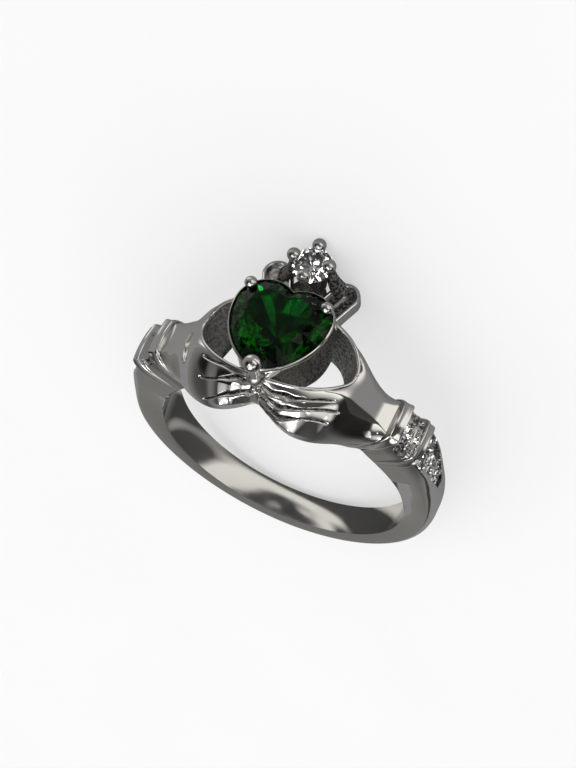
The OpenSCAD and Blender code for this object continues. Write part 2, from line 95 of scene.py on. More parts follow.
# From the cuffs to the back of the band: share of the way, and how much of the cuff's thickness, width
# and edge height is left there
shank = np.array([[0.11, 1.00, 0.62, 0.74], [0.28, 0.66, 0.36, 0.72], [0.48, 0.32, 0.14, 0.70],
                  [0.72, 0.08, 0.02, 0.68], [1.00, 0.00, 0.00, 0.68]])
shank_t = band_t + shank[:, 1] * (side_t - band_t)
shank_half = band_half + shank[:, 2] * (cuff_half - band_half)
shank_sizes = np.stack([stones_to + shank[:, 0] * (180 - stones_to), shank_t, 0.24 * shank_half,
                        0.24 * shank_half, shank_half, shank_half, shank[:, 3] * shank_t], 1)
sizes = np.concatenate([hand_sizes, cuff_sizes, shank_sizes])


def ease(u):
    """0 below 0, 1 above 1, and a smooth S between."""
    v = np.clip(u, 0, 1)
    return v * v * (3 - 2 * v)


def smooth_sizes():
    """The sizes at every fifth of a degree: a cubic through the rows, with the slope at a row that of
    the chord between its neighbours. Over the hands each size is then averaged with its neighbours by
    a bell-shaped weight 2.2 degrees wide, as polishing evens out a casting."""
    angle = np.arange(-60, 180.1, 0.2)
    at, away = sizes[:, 0], np.abs(angle)
    slope = np.zeros(sizes.shape)
    slope[1:-1] = (sizes[2:] - sizes[:-2]) / (at[2:] - at[:-2])[:, None]
    i = np.clip(np.searchsorted(at, away, side="right") - 1, 0, len(at) - 2)
    span = (at[i + 1] - at[i])[:, None]
    u = (away - at[i])[:, None] / span
    raw = (sizes[i] * (1 + 2 * u) * (1 - u) ** 2 + sizes[i + 1] * u * u * (3 - 2 * u)
           + slope[i] * span * u * (1 - u) ** 2 - slope[i + 1] * span * u * u * (1 - u))
    weight = np.exp(-(np.arange(-35, 36) * 0.2 / 2.2) ** 2 / 2)
    even = np.stack([np.convolve(c, weight / weight.sum(), mode="same") for c in raw.T], 1)
    share = ease((wrist - 3 - away) / 6)[:, None] * (angle > -50)[:, None]
    return angle, raw + (even - raw) * share


size_angles, size_values = smooth_sizes()


def size_at(angle, column):
    """A size at each angle around the band, from the smoothed table."""
    return np.interp(angle, size_angles, size_values[:, column])


def front_face(angle, share):
    """The front face as y and radius, from its lower edge at share 0 to the crest at share 1. On the
    band it is a quarter of an ellipse. Over the fingers it is a slope with a bulge of two fifths."""
    top, crest, reach, rim = (size_at(angle, k) for k in (1, 2, 4, 6))
    bend = 1 + 0.25 * ease((wrist - bar_turn - angle) / (0.3 * wrist))
    turn = np.radians(90 * share)
    fingers = ease((0.6 * wrist - angle) / (0.25 * wrist))
    out = fingers * (1 - share) * (1 + 0.4 * share) + (1 - fingers) * np.cos(turn) ** bend
    up = fingers * share * (1.4 - 0.4 * share) + (1 - fingers) * np.sin(turn) ** bend
    return -(crest + (reach - crest) * out), hole_r + rim + (top - rim) * up


def back_face(angle, share):
    """The back face as y and radius: from its lower edge at share 0 a quarter of an ellipse climbs to
    the crest at share 1."""
    top, crest, reach, rim = (size_at(angle, k) for k in (1, 3, 5, 6))
    turn = np.radians(90 * share)
    return crest + (reach - crest) * np.cos(turn), hole_r + rim + (top - rim) * np.sin(turn)


def finger_lift(angle, share):
    """How far the fingers stand out from the front face, and how much painted shade darkens their
    grooves.
    Rounded ridges with grooves between them, each half a cosine wave, run along the hand; they spread
    over the whole face at the tips and swell at two knuckles. On the right palm they climb, on the
    left they fall, and each groove narrows and ends at its own place. The left fingers are shorter by
    a fifth."""
    x = (hole_r + hand_t) * np.sin(np.radians(np.minimum(np.abs(angle), 90)))
    tip = ease(x / 0.4)
    x = x * np.where(angle < 0, 1.28, 1)
    ridge = 0.3 * tip * ease((4.7 - x) / 1.6)
    edge = np.minimum(share / 0.11, (1 - share) / 0.4)
    lift, dark = ridge * np.minimum(1, edge), 0
    # Each groove on the right and the left hand: height at the tip and on the palm, and where it ends
    for right, left in (((0.25, 0.47, 5.0), (0.42, 0.12, 5.2)), ((0.5, 0.66, 5.25), (0.78, 0.5, 5.4)),
                        ((0.75, 0.83, 4.75), (0.98, 0.86, 5.2))):
        tip_line, palm_line, end = (np.where(angle < 0, b, a) for a, b in zip(right, left))
        line = tip_line + (palm_line - tip_line) * ease((x - 1.3) / np.where(angle < 0, 4.2, 2.6))
        line = line + 0.025 * np.sin(2 * np.pi * x / 1.6 + 9 * tip_line) * ease((2.9 - x) / 1.2)
        half_width = 0.032 + 0.08 * ease((3.5 - x) / 1.8)
        depth = 0.17 + 0.15 * ease((3.4 - x) / 1.6)
        cut = 0.5 + 0.5 * np.cos(np.pi * np.minimum(1, np.abs(share - line) / half_width))
        cut = tip * ease((end - x) / 0.3) * cut ** 1.3
        lift, dark = lift - depth * cut, np.maximum(dark, cut)
    knuckle = 0.05 * np.exp(-((x - 1.95) / 0.3) ** 2) + 0.04 * np.exp(-((x - 1.0) / 0.22) ** 2)
    # The second value is painted shade, darkest along each groove's middle
    return lift + knuckle * np.minimum(1, edge), 2 * dark ** 1.8


def around(angle, y, radius):
    """Points at an angle around the finger hole, as x, y and z with z up through the heart."""
    turn = np.radians(angle)
    x, y, z = np.broadcast_arrays(radius * np.sin(turn), y, radius * np.cos(turn))
    return np.stack([x, y, z], -1)


opening_x, opening_y, opening_mid = 5.1, 2.85, 0.57  # the oval's half sizes and its middle's place
opening_top, opening_foot = 11.65, 7.612  # between these heights it narrows
foot_share, foot_shift = 0.8, 0.408  # how much of it is left below, and how far that lies to the left


def opening_edge(turn, z):
    """The oval opening at a height z: an ellipse above, which narrows downwards to four fifths of its
    size, becomes squarer, and moves a little to the left."""
    low = 1 - np.clip((z - opening_foot) / (opening_top - opening_foot), 0, 1)
    cos, sin = np.cos(turn), np.sin(turn)
    square = opening_x * foot_share * np.sign(cos) * np.abs(cos) ** 0.7
    x = (1 - low) * opening_x * cos + low * (square - foot_shift)
    y = (1 - low) * sin + low * foot_share * np.sign(sin) * np.abs(sin) ** 0.7
    return x, opening_mid + opening_y * y


def lay_down(points):
    """Turns points in mm, with the head up, to metres in the place where the ring lies on its side."""
    lean_y, lean_z = frame["record"]["mounts"][0]["axis"][1:]
    x, y, z = points[..., 0], points[..., 1], points[..., 2]
    return np.stack([-x, -(y * lean_y + z * lean_z), z * lean_y - y * lean_z], -1) / 1000


def feed(made, inputs):
    """Gives a node's sockets, by name or number, a value each, or joins them to a socket or to a
    node's first output."""
    for key, value in inputs.items():
        if isinstance(value, bpy.types.Node):
            value = value.outputs[0]
        if isinstance(value, bpy.types.NodeSocket):
            made.id_data.links.new(value, made.inputs[key])
        else:
            made.inputs[key].default_value = value


def node(tree, kind, inputs=None, **settings):
    """Adds a node with its own settings and feeds its inputs."""
    made = tree.nodes.new(kind)
    for key, value in settings.items():
        setattr(made, key, value)
    feed(made, inputs or {})
    return made


def polished_gold(name, colour, residue_and_shade, polish):
    """Rhodium-plated white gold: a near-white metal with faint cloudy changes of gloss from the
    polishing wheel, hair-fine scratches, and a dull skin where it is marked: dark with residue where
    it is the casting's own skin, and dark with painted shade elsewhere."""
    material = bpy.data.materials.new(name)
    material.use_nodes = True
    tree = material.node_tree
    place = node(tree, "ShaderNodeTexCoord").outputs["Object"]
    cloud, wheel, crumb = (
        node(tree, "ShaderNodeTexNoise", {"Vector": place, **fineness})
        for fineness in ({"Scale": 900, "Detail": 3}, {"Scale": 26000, "Detail": 2},
                         {"Scale": 5500, "Detail": 5, "Roughness": 0.75}))
    grain_and_shade = node(tree, "ShaderNodeAttribute", attribute_name="grain_and_shade").outputs["Fac"]
    gloss = node(tree, "ShaderNodeMapRange", {
        "Value": cloud, "From Min": 0.3, "From Max": 0.7,
        "To Min": polish * 0.7, "To Max": polish * 1.5})
    dull = node(tree, "ShaderNodeMath", {0: grain_and_shade, 1: 0.3, 2: gloss}, operation="MULTIPLY_ADD")
    # Where marked, the colour darkens: residue on the casting's own skin, painted shade elsewhere
    patch = node(tree, "ShaderNodeMapRange", {
        "Value": crumb, "From Min": 0.42, "From Max": 0.58, "To Min": 0.3})
    soil_and_shade = node(tree, "ShaderNodeMath", {0: grain_and_shade, 1: patch}, operation="MULTIPLY")
    tone = node(tree, "ShaderNodeMix", {"Factor": soil_and_shade, 6: colour, 7: residue_and_shade}, data_type="RGBA")
    rough = node(tree, "ShaderNodeBump", {"Height": crumb, "Strength": grain_and_shade, "Distance": 0.0001})
    fine = node(tree, "ShaderNodeBump", {
        "Height": wheel, "Normal": rough, "Strength": 0.35, "Distance": 0.0000004})
    feed(tree.nodes["Principled BSDF"], {
        "Metallic": 1, "Roughness": dull, "Base Color": tone.outputs[2], "Normal": fine})
    return material


gold = polished_gold("polished_white_gold", (0.80, 0.785, 0.76, 1), (0.055, 0.053, 0.048, 1), 0.07)


def faces_outwards(mesh, merge=False):
    """Turns all faces of a mesh outwards, and with merge first joins the points that fall together."""
    work = bmesh.new()
    work.from_mesh(mesh)
    if merge:
        bmesh.ops.remove_doubles(work, verts=work.verts, dist=3e-7)
        bmesh.ops.dissolve_degenerate(work, edges=work.edges, dist=1e-8)
    bmesh.ops.recalc_face_normals(work, faces=work.faces)
    work.to_mesh(mesh)
    work.free()


def add(name, data):
    """Puts a mesh, a lamp or a camera into the scene under a name."""
    thing = bpy.data.objects.new(name, data)
    bpy.context.collection.objects.link(thing)
    return thing


def cast_piece(name, grids, marks=None, crease=40):
    """A piece of the gold from grids of points, each (rows, columns, 3) in mm with the head up. Each
    four neighbours make a face, points that fall together are merged and faces are turned outwards.
    marks gives a number for each point: 0 where the metal is polished, 1 where it is dull, grainy and
    dark, and more where it is nearly black. The dark is the casting's own skin in some places and
    painted shade in others."""
    start, points, faces, grain_and_shade = 0, [], [], []
    for i, grid in enumerate(grids):
        rows, columns = grid.shape[:2]
        index = start + np.arange(rows * columns).reshape(rows, columns)
        corners = index[:-1, :-1], index[:-1, 1:], index[1:, 1:], index[1:, :-1]
        faces.append(np.stack(corners, -1).reshape(-1, 4))
        points.append(lay_down(grid).reshape(-1, 3))
        mark = 0.0 if marks is None else marks[i]
        grain_and_shade.append(np.broadcast_to(mark, grid.shape[:2]).reshape(-1))
        start += rows * columns
    points, faces = np.concatenate(points), np.concatenate(faces)
    mesh = bpy.data.meshes.new(name)
    mesh.vertices.add(len(points))
    mesh.vertices.foreach_set("co", points.astype(np.float32).ravel())
    mesh.loops.add(faces.size)
    mesh.loops.foreach_set("vertex_index", faces.astype(np.int32).ravel())
    mesh.polygons.add(len(faces))
    mesh.polygons.foreach_set("loop_start", np.arange(0, faces.size, 4, dtype=np.int32))
    mesh.update(calc_edges=True)
    # Marks for the casting's skin and for painted shade
    layer = mesh.attributes.new("grain_and_shade", "FLOAT", "POINT")
    layer.data.foreach_set("value", np.concatenate(grain_and_shade).astype(np.float32))
    faces_outwards(mesh, merge=True)
    mesh.shade_smooth()
    mesh.set_sharp_from_angle(angle=np.radians(crease))
    mesh.materials.append(gold)
    return add(name, mesh)


# The columns of the hands: at the opening they follow its oval, beyond it they run on to the wrists
oval_turn = np.linspace(np.pi, 0, 181)
beyond = np.linspace(0, 1, 46)[1:]
at_opening = slice(len(beyond), len(beyond) + len(oval_turn))


def edge_of_opening(side, above):
    """The opening's edge, 1 behind and -1 in front, above (1) or at the finger hole (0): angle and y
    for each column, by going twelve times from the angle to the height and back."""
    angle = np.zeros(len(oval_turn))
    for _ in range(12):
        radius = hole_r + above * size_at(np.abs(angle), 1)
        x, y = opening_edge(side * oval_turn, radius * np.cos(np.radians(angle)))
        angle = np.degrees(np.arcsin(x / radius))
    return angle, y


def hand_columns(side):
    """The angle and y of the seam above and below for every column, from wrist to wrist."""
    result = []
    end = wrist - bar_turn
    for angle, y in (edge_of_opening(side, 1), edge_of_opening(side, 0)):
        left = angle[0] + (-end - angle[0]) * beyond[::-1]
        right = angle[-1] + (end - angle[-1]) * beyond
        result.append(np.concatenate([left, angle, right]))
        result.append(np.concatenate(
            [np.full(len(left), opening_mid), y, np.full(len(right), opening_mid)]))
    return result


def blend(first, last, shares):
    """Rows of values that go from first to last by the given shares."""
    shares = np.asarray(shares)[:, None]
    return first + (last - first) * shares


def polished(y, radius, edge_y, passes):
    """Carries a face on, over the crest to the opening's edge, and rounds it as the polishing wheel
    does: each row is averaged with its two neighbours, many times over, while the first and the last
    row stay."""
    over = np.linspace(0, 1, 17)[1:]
    y = np.concatenate([y, blend(y[-1], edge_y, over)])
    radius = np.concatenate([radius, blend(radius[-1], radius[-1], over)])
    for _ in range(passes):
        for value in (y, radius):
            value[1:-1] = 0.25 * value[:-2] + 0.5 * value[1:-1] + 0.25 * value[2:]
    return y, radius


def rim_sink(angle, y, radius):
    """Rounds the hands over towards the two ends of the opening: the surface sinks by 0.2 mm at the
    edge, by the square of what is left of a strip 0.9 mm wide."""
    x = np.abs(radius * np.sin(np.radians(angle))) / opening_x
    away = np.hypot(x, (y - opening_mid) / opening_y)
    strip = np.clip(1 - (away - 1) * opening_x / 0.9, 0, 1)
    sink = 0.2 * strip ** 2 * np.clip(x / np.maximum(away, 0.1), 0, 1) ** 4
    return sink * (radius > hole_r + 2.5)


def fuller_wrist(angle, radius):
    """The left hand stands out by up to 0.36 mm above its wrist, in a bell shape 4.4 degrees wide."""
    return 0.36 * np.exp(-((angle + 36.5) / 4.4) ** 2 / 1.3) * ease((radius - hole_r - 0.8) / 1.4)


edge_in, edge_up = 0.06, 0.12  # how far in and how high the rounded edge of the finger hole starts
inner_share, corner_share = 0.95, 0.714  # where the inside bends over to that edge


def underside(columns, corner, out_y, out_r, across, up):
    """The lowest rows of a hand as angle, y and radius: across the finger hole from the opening to a
    corner, and from there out to the face's lower edge."""
    above, _, below, below_y = columns
    middle = below + 0.5 * (above - below)
    flat = np.full((len(across), len(above)), hole_r)
    return ([blend(below, middle, across), blend(middle, above, up)],
            [blend(below_y, corner, across), blend(corner, out_y, up)],
            [flat, blend(hole_r, out_r, up)])


def hand_front_skin():
    """The front of the hands, from the finger hole out over the underside of the fingers, up the
    fingers and over the crest to the opening; and the painted shade in its grooves."""
    columns = hand_columns(-1)
    above, above_y = columns[:2]
    a = np.abs(above)
    full = ease((wrist - bar_turn - a) / (0.3 * wrist))
    reach, rim = size_at(a, 4), size_at(a, 6)
    inner = np.minimum(band_half, reach) * inner_share
    under = rim * 0.8 * full
    out_y, out_r = -reach + edge_in, hole_r + under + edge_up
    # Where the underside rises, its corner lies further in
    corner = -inner + 0.3 / (0.42 + under) * (out_y + inner)
    angle, y, radius = underside(columns, corner, out_y, out_r, [0, 0.25, 0.5, 0.75, 0.94, 1],
                                 [0.03, 0.2, 0.4, 0.6, 0.8, 0.96, 1])
    share = np.linspace(0, 1, 105)[:, None]
    round_y, round_r = polished(*front_face(a, share), above_y, 22)
    top, crest = size_at(a, 1), size_at(a, 2)
    run = np.hypot(reach - crest, top - rim)
    flat = np.zeros((len(round_y) - len(share), len(a)))
    lift, dark = (np.concatenate([v, flat]) for v in finger_lift(above, share))
    y.append(round_y - (top - rim) / run * lift)
    rolled = round_r + fuller_wrist(above, round_r) - rim_sink(above, round_y, round_r)
    radius.append(rolled + (reach - crest) / run * lift)
    angle.append(np.broadcast_to(above, round_y.shape))
    points = around(*map(np.concatenate, (angle, y, radius)))
    return points, np.concatenate([np.zeros((len(points) - len(dark), len(a))), dark])


def hand_back_skin():
    """The back of the hands, from the finger hole out under the thumbs and up over them to the
    opening. Where the opening's edge lies below the crest, the face stops there."""
    columns = hand_columns(1)
    above, above_y = columns[:2]
    a = np.abs(above)
    reach = size_at(a, 5)
    inner = np.minimum(band_half, reach) * inner_share
    out_y, out_r = reach - edge_in, np.full(len(a), hole_r + edge_up)
    corner = inner + corner_share * (out_y - inner)
    angle, y, radius = underside(columns, corner, out_y, out_r, [0, 0.2, 0.4, 0.6, 0.8, 0.97, 1],
                                 [0.3, 0.7, 1])
    crest_y = size_at(a, 3)
    stop = np.degrees(np.arccos(np.clip((above_y - crest_y) / (reach - crest_y), 0, 1))) / 90
    share = np.linspace(0, 1, 49)[:, None] * stop
    round_y, round_r = polished(*back_face(a, share), above_y, 30)
    y.append(round_y)
    radius.append(round_r + fuller_wrist(above, round_r) - rim_sink(above, round_y, round_r))
    angle.append(np.broadcast_to(above, round_y.shape))
    return around(*map(np.concatenate, (angle, y, radius)))


def tunnel(side):
    """One side of the opening's wall, from its upper edge straight down to the finger hole."""
    high, low = (hand_skins[side][row, at_opening] for row in (-1, 0))
    down = np.linspace(0, 1, 19)[:, None]
    z = high[:, 2] + (low[:, 2] - high[:, 2]) * down
    x, y = opening_edge(side * oval_turn, z)
    wall = np.stack([x, y, z], -1)
    wall[0], wall[-1] = high, low
    return wall


def end_cap(loop):
    """A flat end: the closed loop of points drawn together to its middle."""
    return np.stack([loop, np.broadcast_to(loop.mean(0), loop.shape)])


# The dark marks that come with the front skin are painted shade in the fingers' grooves
front_skin, grooves = hand_front_skin()
hand_skins = {-1: front_skin, 1: hand_back_skin()}
ends = [np.concatenate([hand_skins[-1][:, k], hand_skins[1][::-1, k]]) for k in (0, -1)]
skin = 0.91 + 0.09 * np.cos(oval_turn)  # the opening's wall, a little cleaner on the left
hands = cast_piece(
    "hands",
    [hand_skins[-1], hand_skins[1], tunnel(-1), tunnel(1), end_cap(ends[0]), end_cap(ends[1])],
    marks=[grooves, 0, skin, skin, 0, 0],
)
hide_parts("band_and_setting")
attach(hands, "root")


# The rim of the opening
# A fine raised lip runs around the upper edge of the opening, where the file and the polishing wheel
# rounded it.
def unit(vectors):
    """The same directions, with length 1."""
    return vectors / np.linalg.norm(vectors, axis=-1, keepdims=True)


def lip():
    """A ring of oval section, 0.12 mm to each side and 0.11 mm up and down, carried around the
    opening's upper edge, square to it and to the hands' surface."""
    front, back = (hand_skins[side][-1, at_opening] for side in (-1, 1))
    edge = np.concatenate([front, back[-2:0:-1]])
    ahead = unit(np.roll(edge, -1, 0) - np.roll(edge, 1, 0))
    out = unit(np.cross(ahead, unit(edge * [1, 0, 1])))
    up = np.cross(out, ahead)
    out *= np.sign((out * (edge - [0, opening_mid, 0])).sum(1, keepdims=True))
    up *= np.sign((up * edge).sum(1, keepdims=True))
    turn = np.linspace(0, 2 * np.pi, 17)[:, None, None]
    ring = edge + out * (0.07 + 0.12 * np.cos(turn)) + up * (0.11 * np.sin(turn))
    return np.concatenate([ring, ring[:, :1]], 1)


opening_lip = cast_piece("opening_lip", [lip()])
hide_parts("band_and_setting")
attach(opening_lip, "root")


# The band with the cuffs and shoulders
# The same casting runs on through two cuffs, each two raised bars with a row of stones between them,
# and through the shoulders, whose tapering fields of stones end in points, to the plain band.
floor_sink = 0.28  # depth of the floor that the stones are set in
floor_end = turn_of(0.05)  # over which the floor sinks at its two ends


def bar_rise(angle):
    """Height of the two bars at an angle: tops hollowed by a third between tight round edges."""
    height = 0
    for at in (wrist, lower_bar):
        d = np.minimum(1, np.abs(angle - at) / bar_turn)
        height = height + (1 - d ** 8) ** 0.5 * (1 - 0.32 * (1 - d ** 2) ** 2)
    return 0.5 * height


def floor_share(angle):
    """1 where a floor for stones is sunk into the crest, 0 elsewhere, with steep ends."""
    share = 0
    for start, end in ((wrist + bar_turn, lower_bar - bar_turn), (lower_bar + bar_turn, stones_to)):
        share = share + ease((angle - start) / floor_end) * ease((end - angle) / floor_end)
    return share


row_d, field_d, row_lean = 0.98, 1.2, 26  # diameters in row and field, and a row's lean
between_bars = (wrist + lower_bar) / 2
step = turn_of(field_d * 1.12)
# Where the small stones sit: angle, place across the band, lean in degrees and diameter
seats = np.array([
    [between_bars, -0.96, -row_lean, row_d], [between_bars, 0, 0, row_d],
    [between_bars, 0.96, row_lean, row_d],
    [stones_from + 0.55 * step, -0.672, -4, field_d], [stones_from + 0.55 * step, 0.672, 4, field_d],
    [stones_from + 1.5 * step, 0, 0, field_d], [stones_from + 2.5 * step, 0, 0, 1.08],
])
seat_gap = 0.02  # how much wider than its stone a pit is, all round


def seat_frame(seat, side):
    """A seat's middle and its three directions: along the band, across it, and out of the metal."""
    angle, across, lean, _ = seat
    turn, tip = np.radians(side * angle), np.radians(lean)
    radius = hole_r + size_at(angle, 1) - floor_sink * (1 + 0.64 * abs(lean) / row_lean)
    middle = np.array([radius * np.sin(turn), across, radius * np.cos(turn)])
    along = np.array([np.cos(turn), 0, -np.sin(turn)])
    cross = np.array([-np.sin(tip) * np.sin(turn), np.cos(tip), -np.sin(tip) * np.cos(turn)])
    out = np.array([np.cos(tip) * np.sin(turn), np.sin(tip), np.cos(tip) * np.cos(turn)])
    return middle, along, cross, out


def with_pits(points):
    """Sinks a round pit, deeper than the stone, under each small stone, and marks where they are
    for painted shade under the stones.
    """
    points = points.copy()
    depth = np.zeros(points.shape[:2])
    for side in (-1, 1):
        for seat in seats:
            middle, along, cross, out = seat_frame(seat, side)
            local = points - middle
            d = seat[3]
            reach = np.hypot(local @ along, local @ cross) / (d / 2 + seat_gap)
            near = (reach < 1) & (np.abs(local @ out) < 0.7)
            sink = np.where(near, 0.5 * d * np.sqrt(np.clip(1 - reach ** 3, 0, 1)), 0)
            points -= sink[..., None] * out
            # Each pit is marked to be painted dark: painted shade under its stone
            depth = np.maximum(depth, np.where(near, 1.0, 0.0))
    return points, depth


def band_ring():
    """The band as a closed section carried round from wrist to wrist: the finger hole, the front
    edge and face, the crest with its sunk floor, and the back face and edge."""
    snug = np.sin(np.linspace(-np.pi / 2, np.pi / 2, 23))
    one_side = np.concatenate([
        wrist + bar_turn * snug,
        wrist + bar_turn + (lower_bar - wrist - 2 * bar_turn) * np.array(
            [0.02, 0.045, *np.linspace(0.07, 0.93, 19), 0.955, 0.98]),
        lower_bar + bar_turn * snug,
        lower_bar + bar_turn + (stones_to - lower_bar - bar_turn) * np.array(
            [0.006, 0.012, *np.linspace(0.02, 0.985, 96), 0.993]),
        stones_to + (180 - stones_to) * np.linspace(0, 1, 91),
    ])
    angle = np.concatenate([one_side, 360 - one_side[-2::-1]])
    a = np.where(angle > 180, 360 - angle, angle)
    top, f_crest, b_crest, f_reach, b_reach = (size_at(a, k) for k in range(1, 6))
    f_inner, b_inner = (np.minimum(band_half, reach) * inner_share for reach in (f_reach, b_reach))
    f_corner = -f_inner - corner_share * (f_reach - edge_in - f_inner)
    b_corner = b_inner + corner_share * (b_reach - edge_in - b_inner)
    bar = bar_rise(a)
    across = [0, 0.03, 0.2, 0.4, 0.6, 0.8, 0.97, 1]
    edge_r = np.full(len(a), hole_r + edge_up)
    share = np.linspace(0, 1, 21)[:, None]
    bar_out, bar_up = 0.2 * bar * np.cos(np.pi / 2 * share), bar * np.sin(np.pi / 2 * share)
    front_y, front_r = front_face(a, share)
    back_y, back_r = back_face(a, share)
    # Places across the crest, -1 at its front edge and 1 at its back edge
    k = np.array([-0.985, -0.965, -0.95, -0.93, *np.linspace(-0.9, 0.9, 39),
                  0.93, 0.95, 0.965, 0.985])[:, None]
    dome = 0.03 * cuff_t * ease((stones_to - a) / turn_of(0.45 * field_l)) * (1 - k ** 2)
    sunk = floor_sink * floor_share(a) * ease((0.98 - np.abs(k)) / 0.04)
    rows = [
        (blend(b_corner, f_corner, across), np.full((len(across), len(a)), hole_r)),
        (blend(f_corner, -f_reach + edge_in, [0.5, 1]), blend(hole_r, edge_r, [0.5, 1])),
        (front_y - bar_out, front_r + bar_up),
        (np.where(k < 0, k * f_crest, k * b_crest), hole_r + top + bar + dome - sunk),
        ((back_y + bar_out)[::-1], (back_r + bar_up)[::-1]),
        (blend(b_reach - edge_in, b_corner, [0, 0.5, 1]), blend(edge_r, hole_r, [0, 0.5, 1])),
    ]
    return with_pits(around(angle, *map(np.concatenate, zip(*rows))))


# The pits' marks paint them dark: painted shade under the small stones
ring_skin, pit_shade = band_ring()
band = cast_piece(
    "band_with_cuffs",
    [ring_skin, end_cap(ring_skin[:, 0]), end_cap(ring_skin[:, -1])],
    marks=[pit_shade, 0, 0],
)
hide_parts("band_and_setting")
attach(band, "root")


# The grains that hold the small stones
# Little beads of metal are raised from the floor with a graver and pushed over each stone's edge.
bead_r, bead_up = 0.12, 0.07  # radius of a bead, and its height above the stone's edge


def full_turn(columns):
    """Angles all the way round, the last of them 0 again, so that the seam closes."""
    turn = np.linspace(0, 2 * np.pi, columns + 1)
    turn[-1] = 0
    return turn


def ball(middle, radius, out, stretch, rows, columns):
    """A sphere about a middle, stretched along out: rows from pole to pole, columns all round."""
    out = unit(np.asarray(out, float))
    side = unit(np.cross(out, [0.3, 0.5, 0.8]))
    other = np.cross(out, side)
    down = np.linspace(0, np.pi, rows)[:, None, None]
    turn = full_turn(columns)[None, :, None]
    return middle + radius * (np.cos(down) * out * stretch
                              + np.sin(down) * (np.cos(turn) * side + np.sin(turn) * other))


def grain_beads():
    """Four beads around each small stone, leaning on its edge."""
    beads = []
    for side in (-1, 1):
        for seat in seats:
            middle, along, cross, out = seat_frame(seat, side)
            for turn in np.radians([45, 135, 225, 315]):
                reach = seat[3] / 2 + seat_gap
                at = middle + reach * (np.cos(turn) * along + np.sin(turn) * cross) + bead_up * out
                beads.append(ball(at, bead_r, out, 1, 7, 10))
    return beads


grains = cast_piece("stone_grains", grain_beads())
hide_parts("band_and_setting")
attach(grains, "root")


# The wall around the heart stone
# A strip of gold bent to the heart's outline stands in the opening and carries the heart stone. Its
# upper edge is burnished to a bright line around the stone.
heart_w, heart_l, heart_y = 6.1, 5.95, 0.4  # width, length and the place of its middle
girdle_z = hole_r + 5.55  # height of the stone's widest line
wall_h, rim_h = 3.8, 0.45  # height of the wall and of its burnished edge
lobe_r = 0.308 * heart_w
lobe_x, lobe_y, tip_y = heart_w / 2 - lobe_r, heart_l / 2 - lobe_r, -heart_l / 2
side_shift = (lobe_x ** 2 + (tip_y - lobe_y) ** 2 - lobe_r ** 2) / (2 * (lobe_r + lobe_x))
side_r = lobe_r + side_shift
notch_turn = np.arccos(-lobe_x / lobe_r)
tip_turn = np.arctan2(tip_y - lobe_y, side_shift - lobe_x)


def heart_outline(per_lobe, per_side):
    """The heart seen from above, from the tip round and back to it: each lobe is an arc, and an arc
    that runs on from it smoothly goes down to the tip."""
    lobe = notch_turn * (1 - np.arange(per_lobe + 1) / per_lobe)
    flank = tip_turn * np.arange(1, per_side + 1) / per_side
    half = np.concatenate([
        np.stack([lobe_x + lobe_r * np.cos(lobe), lobe_y + lobe_r * np.sin(lobe)], 1),
        np.stack([lobe_x - side_shift + side_r * np.cos(flank), lobe_y + side_r * np.sin(flank)], 1),
    ])
    half[0, 0] = half[-1, 0] = 0
    return np.concatenate([half[::-1], half[1:] * [-1, 1]])


def heart_ring(outline, share, z, grow=0.0):
    """The outline drawn in or out by a share about its middle, and by a length, at a height z."""
    length = np.linalg.norm(outline, axis=1, keepdims=True)
    spot = outline * (share + grow / length)
    return np.stack([spot[:, 0], spot[:, 1] + heart_y, np.broadcast_to(z, len(outline))], 1)


def heart_wall():
    """Rings from the foot up the outside, over the burnished edge and down the inside."""
    line = heart_outline(48, 48)
    top = girdle_z - 0.08
    foot = top - wall_h * (1 - 0.16 * ease(-line[:, 1] / (heart_l / 2)))
    rings = [heart_ring(line, 0.95 + 0.035 * rise, foot + (top - rim_h - foot) * rise)
             for rise in np.linspace(0, 1, 9)]
    for grow, z in ((0.0, -0.42), (0.05, -0.3), (0.13, -0.2), (0.18, -0.1), (0.19, 0.04), (0.175, 0.14),
                    (0.135, 0.2), (0.09, 0.21), (0.05, 0.16), (0.02, 0.04), (-0.01, -0.06)):
        rings.append(heart_ring(line, 1, top + z, grow))
    for share, z, grow in ((1, top - rim_h, -0.42), (0.97, top - 1.2, -0.45),
                           (0.95, foot + 0.03, -0.48), (0.95, foot, -0.44)):
        rings.append(heart_ring(line, share, z, grow))
    return np.stack([*rings, rings[0]])


# Outside and edge are polished, and the inside, in the last rings but one, is painted dark with painted
# shade behind the stone
wall_inside_shade = np.array([0] * 20 + [0.6, 1, 1, 1, 0])[:, None]
wall = cast_piece("heart_wall", [heart_wall()], marks=[wall_inside_shade], crease=50)
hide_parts("band_and_setting")
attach(wall, "root")


# The claws over the heart
# Three claws soldered to the wall hold the stone: one over each lobe, and a larger one over the tip,
# where a bead of solder joins the fingertips. Each ends in a polished ball.
def wire(path, width, thickness, facing, columns=20):
    """A rod of oval section along a path of points, closed at both ends. width and thickness give its
    size at each point, thickness along facing and width across it."""
    path = np.asarray(path, float)
    ahead = unit(np.gradient(path, axis=0))
    side = unit(np.cross(ahead, facing))
    face = np.cross(side, ahead)
    turn = full_turn(columns)[None, :, None]
    width, thickness = (np.asarray(v, float)[:, None, None] / 2 for v in (width, thickness))
    ring = (path[:, None] + width * np.cos(turn) * side[:, None]
            + thickness * np.sin(turn) * face[:, None])
    first, last = (np.broadcast_to(path[i], (1,) + ring.shape[1:]) for i in (0, -1))
    return np.concatenate([first, ring, last])


def curve(points, count):
    """A smooth curve from the first point to the last, drawn towards those between: neighbours are
    blended by t, over and over, until one is left."""
    level = [np.asarray(p, float)[None] for p in points]
    t = np.linspace(0, 1, count)[:, None]
    while len(level) > 1:
        level = [a * (1 - t) + b * t for a, b in zip(level, level[1:])]
    return level[0]


